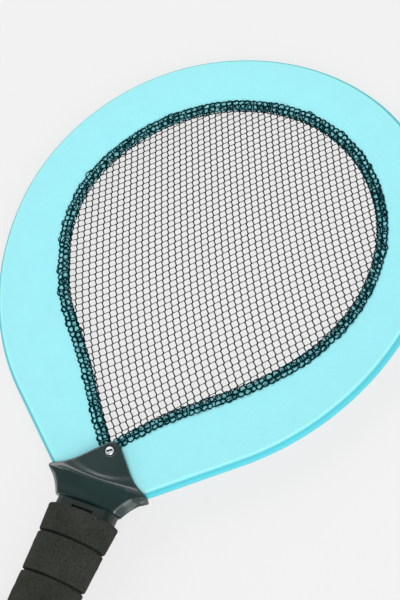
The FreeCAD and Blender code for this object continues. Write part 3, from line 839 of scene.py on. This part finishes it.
class RACKET_OT_yoke(bpy.types.Operator):
    """Moulds the two yoke shells with their crest, valley, plate and bevels"""

    bl_idname = "racket.yoke"
    bl_label = "Throat Yoke"

    def execute(self, context):
        sizes, shades = context.scene.racket_yoke, context.scene.racket_colours
        plastic = moulded("moulded_nylon_shell", list(shades.shell), 0.22, 0.35, 0.012)
        for name, node, heights, inset, side in (
            ("yoke_shell_front", "yoke_front_shell", FRONT_HEIGHTS, 0.0, 1),
            ("yoke_shell_back", "yoke_back_shell", BACK_HEIGHTS, 1.2 * MM, -1),
        ):
            points, quads = self.shell(sizes, heights, inset)
            points[:, 2] *= side
            quads = quads if side < 0 else quads[:, ::-1]
            made = piece(name, points, quads, plastic, sharp=50)
            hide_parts(node)
        return {"FINISHED"}

    def shell(self, sizes, heights, inset):
        """Points and quads of one shell's outer skin."""
        nose = sizes.nose - inset
        lower = np.linspace(sizes.foot, sizes.wing, 46)
        upper = np.linspace(sizes.wing, nose - NOSE_TIP, 72)[1:]
        tip = nose - NOSE_TIP * (1 - np.linspace(0, 1, 14)[1:]) ** 2
        x = np.concatenate([lower, upper, tip])
        width = yoke_half_width(x, sizes, inset)
        # The nose ends in a sliver, so that no face there is without area.
        width[-1] = 0.02 * MM
        drawn = np.array(DRAWN_IN) * MM
        share = np.arange(len(drawn)) / len(drawn)
        half = np.maximum(width[:, None] - drawn, width[:, None] * (1 - share))
        y = np.concatenate([half, np.zeros((len(x), 1)), -half[:, ::-1]], 1)
        xs = np.repeat(x[:, None], y.shape[1], 1)
        # The valley between crest and plate widens towards the flanks.
        at = sizes.wing + (xs - sizes.wing) / (1 + (y / sizes.valley_reach) ** 2)
        below, above = profile(xs, heights[0], 121, 21), profile(at, heights[1], 241, 17)
        middle = np.where(xs <= sizes.wing, below, above)
        # Across, the shell arches down to its edge, more so towards the foot.
        footward = np.clip((sizes.wing - xs) / (sizes.wing - sizes.foot), 0, 1)
        arch = (y / (sizes.half_width + ARCH_PAST - ARCH_DRAW * footward)) ** 2
        z = middle - (middle - EDGE_HEIGHT).clip(0.5 * MM) * arch
        edge_x = np.linspace(sizes.foot, nose, 600)
        edge_y = yoke_half_width(edge_x, sizes, inset)
        edge_y[-1] = 0
        flat = np.stack([xs, np.abs(y)], -1).reshape(-1, 2)
        _, away = nearest(flat, np.stack([edge_x, edge_y], 1))
        from_edge = np.sqrt((away ** 2).sum(1)).reshape(y.shape)
        waist = np.clip((sizes.wing - xs) / WAIST_BLEND, 0, 1)
        bevel = sizes.flank_bevel + (sizes.side_bevel - sizes.flank_bevel) * waist
        inside = np.clip(1 - from_edge / bevel, 0, 1)
        z -= (FLANK_DROP + WAIST_DROP * waist) * inside ** (2 - waist)
        screw = np.hypot(xs - (sizes.nose - sizes.nose_radius), y)
        z -= SEAT_DEPTH * np.clip((SEAT_RADIUS - screw) / SEAT_WALL, 0, 1)
        top = np.stack([xs, y, z], -1)
        walls = []
        for column, step in ((0, 1), (-1, -1)):
            wall = []
            for level in (0.0, 0.5):
                line = top[:, column] * [1, 1, level]
                under = np.clip((sizes.wing - line[:, 0]) / WAIST_BLEND, 0, 1) * (1 - level)
                line[:, 1] -= np.sign(line[:, 1]) * WALL_LEAN * under
                wall.append(line)
            walls.append(np.stack(wall[::step], 1))
        skin = np.concatenate([walls[0], top, walls[1]], 1)
        foot = np.stack([skin[0] * [1, 1, level] for level in (0.0, 0.5)])
        skin = np.concatenate([foot, skin], 0)
        return skin.reshape(-1, 3), grid(skin.shape[0], skin.shape[1])


class RACKET_OT_grip(bpy.types.Operator):
    """Cuts the ribbed foam grip"""

    bl_idname = "racket.grip"
    bl_label = "Foam Grip"

    def execute(self, context):
        sizes, shades = context.scene.racket_grip, context.scene.racket_colours
        span = sizes.rib * (sizes.ribs - 1) + sizes.last_rib
        middle = sizes.start + span / 2
        turns = np.linspace(0, math.pi / 2, 5)
        rounding = [(sizes.edge * (1 - math.cos(t)), sizes.edge * (1 - math.sin(t))) for t in turns]
        # Places along the grip, and how deep below the full form the foam lies there.
        stations = []
        x = sizes.start
        for i in range(sizes.ribs):
            first, last = i == 0, i == sizes.ribs - 1
            long = sizes.last_rib if last else sizes.rib
            start = x + (0 if first else sizes.groove / 2)
            end = x + long - (0 if last else sizes.groove / 2)
            stations.append((start, END_DEPTH if first else sizes.groove_depth))
            stations += [(start + along, deep) for along, deep in rounding]
            for share in np.linspace(0, 1, 9)[1:-1]:
                swell = SWELL * (1 - (2 * share - 1) ** 4)
                at = start + sizes.edge + (end - start - 2 * sizes.edge) * share
                stations.append((at, RIB_DEPTH - swell))
            stations += [(end - along, deep) for along, deep in rounding[::-1]]
            stations.append((end, END_DEPTH if last else sizes.groove_depth))
            x += long
        stations.insert(0, (stations[0][0], FACE_DEPTH))
        stations.append((stations[-1][0], FACE_DEPTH))
        at, drawn = np.array(stations).T
        width = np.where(at > middle, sizes.top_width, sizes.butt_width)
        flare = (np.abs(at - middle) / (span / 2)) ** 2
        half = (sizes.waist_width + (width - sizes.waist_width) * flare) / 2
        turn = np.linspace(0, math.tau, 120, endpoint=False)
        chance = np.random.default_rng(seed=3)
        uneven = UNEVEN * chance.normal(0, 1, (len(at), 1)) * np.sin(turn * 2 + 1)
        y = (half - drawn)[:, None] * np.cos(turn) + uneven * np.cos(turn)
        z = (half * sizes.depth_share - drawn)[:, None] * np.sin(turn) + uneven * np.sin(turn)
        shape = np.stack([np.repeat(at[:, None], len(turn), 1), y, z], -1).reshape(-1, 3)
        foam = eva_foam("eva_foam", list(shades.foam))
        quads = grid(len(at), len(turn), False, True)
        made = piece("foam_grip", shape, quads, foam, sharp=60)
        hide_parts("foam_grip_sleeve")
        return {"FINISHED"}


class RACKET_OT_solids(bpy.types.Operator):
    """Finishes the solids that show as they are: screws, core, cap and hoop"""

    bl_idname = "racket.solids"
    bl_label = "Screws, Core and Hoop"

    def execute(self, context):
        shell = list(context.scene.racket_colours.shell)
        zinc = zinc_steel("zinc_plated_steel")
        core = moulded("moulded_polypropylene_core", shaded(shell, 0.55), 0.3, 0.4, 0.02)
        cap = moulded("moulded_polypropylene_cap", shaded(shell, 1.1), 0.5, 0.5, 0.03)
        paint = moulded("powder_coated_tube", linear("A8AEB0"), 0.35, 0.8, 0.04)
        finishes = {
            "yoke_tip_screw": zinc, "yoke_rear_screw": zinc, "handle_core_screws": zinc,
            "handle_core_front": core, "handle_core_back": core, "butt_cap": cap,
            "hoop_tube": paint,
        }
        for node, finish in finishes.items():
            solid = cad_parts[node]
            solid.data.materials.clear()
            solid.data.materials.append(finish)
        return {"FINISHED"}


class RACKET_OT_stage(bpy.types.Operator):
    """Sets the paper sweep, the soft lights and the camera"""

    bl_idname = "racket.stage"
    bl_label = "Stage"

    def execute(self, context):
        self.paper(context)
        world = context.scene.world or bpy.data.worlds.new("studio")
        context.scene.world = world
        studio_sky(world, overhead=0.25, around=0.9)
        for lamp in LAMPS:
            self.softbox(context, *lamp)
        camera = bpy.data.cameras.new("camera")
        camera.lens = LENS
        camera.sensor_width = 36
        camera.sensor_fit = "AUTO"
        view = bpy.data.objects.new("camera", camera)
        view.matrix_world = Matrix.Translation(CAMERA_AT) @ Matrix(CAMERA_AXES).transposed().to_4x4()
        context.scene.collection.objects.link(view)
        context.scene.camera = view
        context.scene.view_settings.view_transform = "Standard"
        return {"FINISHED"}

    def paper(self, context):
        """Lays the racket on its sweep, on the grip's back and on the crown of the rim."""
        grip_rest, rim_rest = (0.1325, -0.0147), (0.4207, -0.00365)
        slope = math.atan2(rim_rest[1] - grip_rest[1], rim_rest[0] - grip_rest[0])
        mesh = bpy.data.meshes.new("paper_sweep")
        reach = 4.0
        corners = [(reach * x, reach * y, 0) for x, y in ((-1, -1), (1, -1), (1, 1), (-1, 1))]
        mesh.from_pydata(corners, [], [(0, 1, 2, 3)])
        white = list(context.scene.racket_colours.paper)
        mesh.materials.append(paper_sweep("paper", white, lift=0.85))
        floor = bpy.data.objects.new("paper_sweep", mesh)
        floor.location = (grip_rest[0], 0, grip_rest[1] - 0.1 * MM)
        floor.rotation_euler = (0, -slope, 0)
        context.scene.collection.objects.link(floor)

    def softbox(self, context, name, side, height, away, size, power):
        """A square soft light that faces the racket."""
        turn, rise = math.radians(side), math.radians(height)
        beam = Vector((math.cos(rise) * math.cos(turn), math.cos(rise) * math.sin(turn), math.sin(rise)))
        lamp = bpy.data.lights.new(name, "AREA")
        lamp.size = size
        lamp.energy = power
        lit = bpy.data.objects.new(name, lamp)
        facing = beam.to_track_quat("Z", "Y").to_matrix().to_4x4()
        lit.matrix_world = Matrix.Translation(Vector(AIM) + beam * away) @ facing
        context.scene.collection.objects.link(lit)


class RACKET_PT_panel(bpy.types.Panel):
    """Sizes, colours and pieces of the racket"""

    bl_idname = "RACKET_PT_panel"
    bl_label = "Racket"
    bl_space_type = "VIEW_3D"
    bl_region_type = "UI"
    bl_category = "Racket"

    def draw(self, context):
        layout = self.layout
        for name, title, _ in GROUPS:
            box = layout.box()
            box.label(text=title)
            group = getattr(context.scene, name)
            for key in group.__annotations__:
                box.prop(group, key)
        for kind in OPERATORS:
            layout.operator(kind.bl_idname)


GROUPS = (
    ("racket_head", "Head", HeadSizes), ("racket_net", "Net", NetSizes),
    ("racket_yoke", "Yoke", YokeSizes), ("racket_grip", "Grip", GripSizes),
    ("racket_colours", "Colours", FinishColours),
)
OPERATORS = (
    RACKET_OT_cover, RACKET_OT_net, RACKET_OT_hem, RACKET_OT_yoke, RACKET_OT_grip,
    RACKET_OT_solids, RACKET_OT_stage,
)
CLASSES = (*(group for _, _, group in GROUPS), *OPERATORS, RACKET_PT_panel)


def register():
    """Makes the settings, the operators and the panel known to Blender."""
    for kind in CLASSES:
        bpy.utils.register_class(kind)
    for name, _, group in GROUPS:
        setattr(bpy.types.Scene, name, PointerProperty(type=group))


def unregister():
    """Takes them out again, in the opposite order."""
    for name, _, _ in GROUPS:
        delattr(bpy.types.Scene, name)
    for kind in reversed(CLASSES):
        bpy.utils.unregister_class(kind)


def main():
    """Builds every piece in order."""
    register()
    for kind in OPERATORS:
        getattr(bpy.ops.racket, kind.bl_idname.split(".")[1])()


if __name__ == "__main__":
    main()
